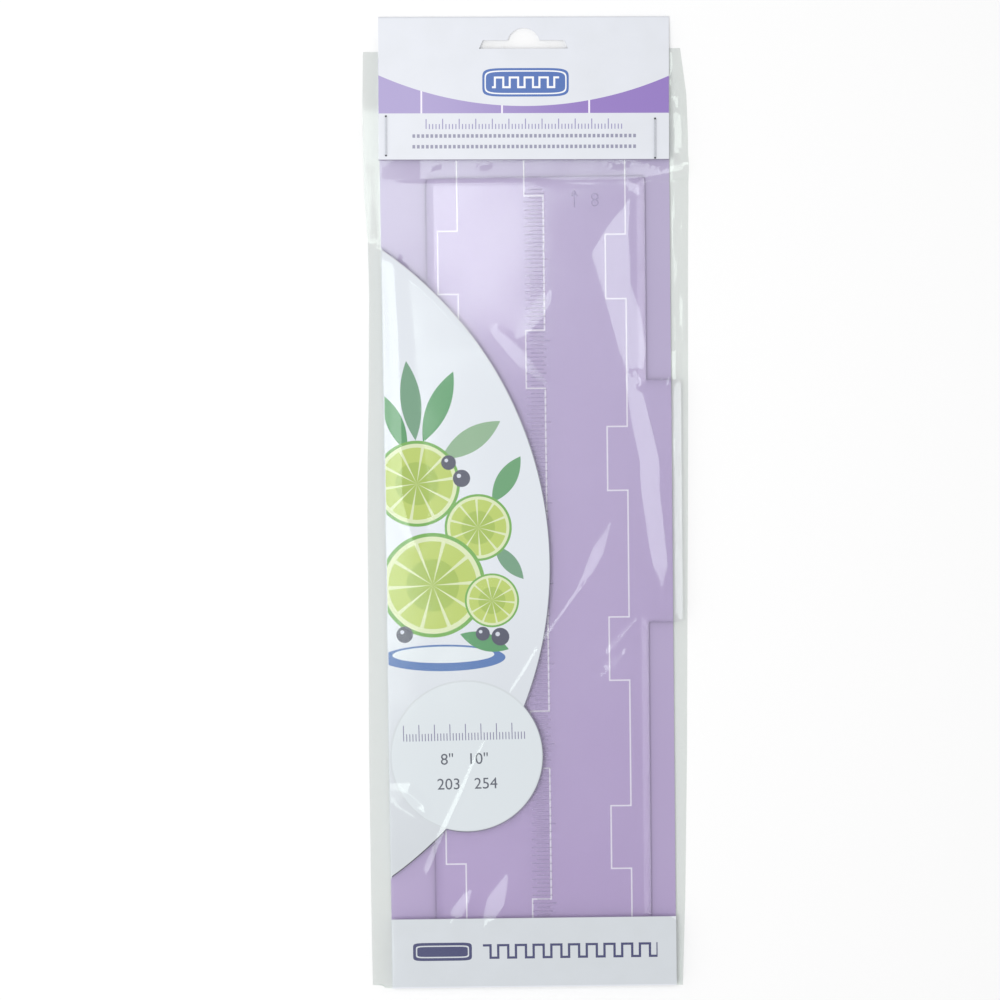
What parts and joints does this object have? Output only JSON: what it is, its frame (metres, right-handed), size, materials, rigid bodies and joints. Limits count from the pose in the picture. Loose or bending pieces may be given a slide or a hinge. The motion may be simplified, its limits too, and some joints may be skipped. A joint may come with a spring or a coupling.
{
  "type": "icing smoother in retail pack",
  "caption": "Clear stepped-edge cake side scraper with a raised ruler, held by a folded insert card in a film bag under a stapled header card with a hang slot.",
  "frame": {"origin": "centre of the overall footprint, on the face that the pack lies on", "axes": "+X to the right across the pack, +Y along the scraper towards the header card, +Z out of the printed front"},
  "size_m": [0.1, 0.306, 0.0046],
  "materials": {
    "clear_plastic": "clear moulded plastic, polished",
    "insert_card": "lilac print with white lines, satin",
    "flap_card": "white print, satin",
    "header_card": "white and violet print, satin",
    "bag_film": "clear thin film, glossy",
    "staple_wire": "flattened wire, satin"
  },
  "bodies": {
    "pack": {"insert_back_panel": "insert_card", "insert_side_fold": "flap_card", "insert_arc_flap": "flap_card", "insert_bottom_fold": "flap_card", "insert_bottom_flap": "flap_card", "header_back_panel": "header_card", "header_fold": "header_card", "header_front_panel": "header_card", "bag_back_film": "bag_film", "bag_front_film": "bag_film", "staple_left": "staple_wire", "staple_right": "staple_wire"},
    "scraper": {"scraper": "clear_plastic"}
  },
  "joints": [
    {"name": "scraper_slide", "type": "slide", "parent": "pack", "child": "scraper", "axis": [0, 1, 0], "range_m": [0, 0.008]}
  ]
}
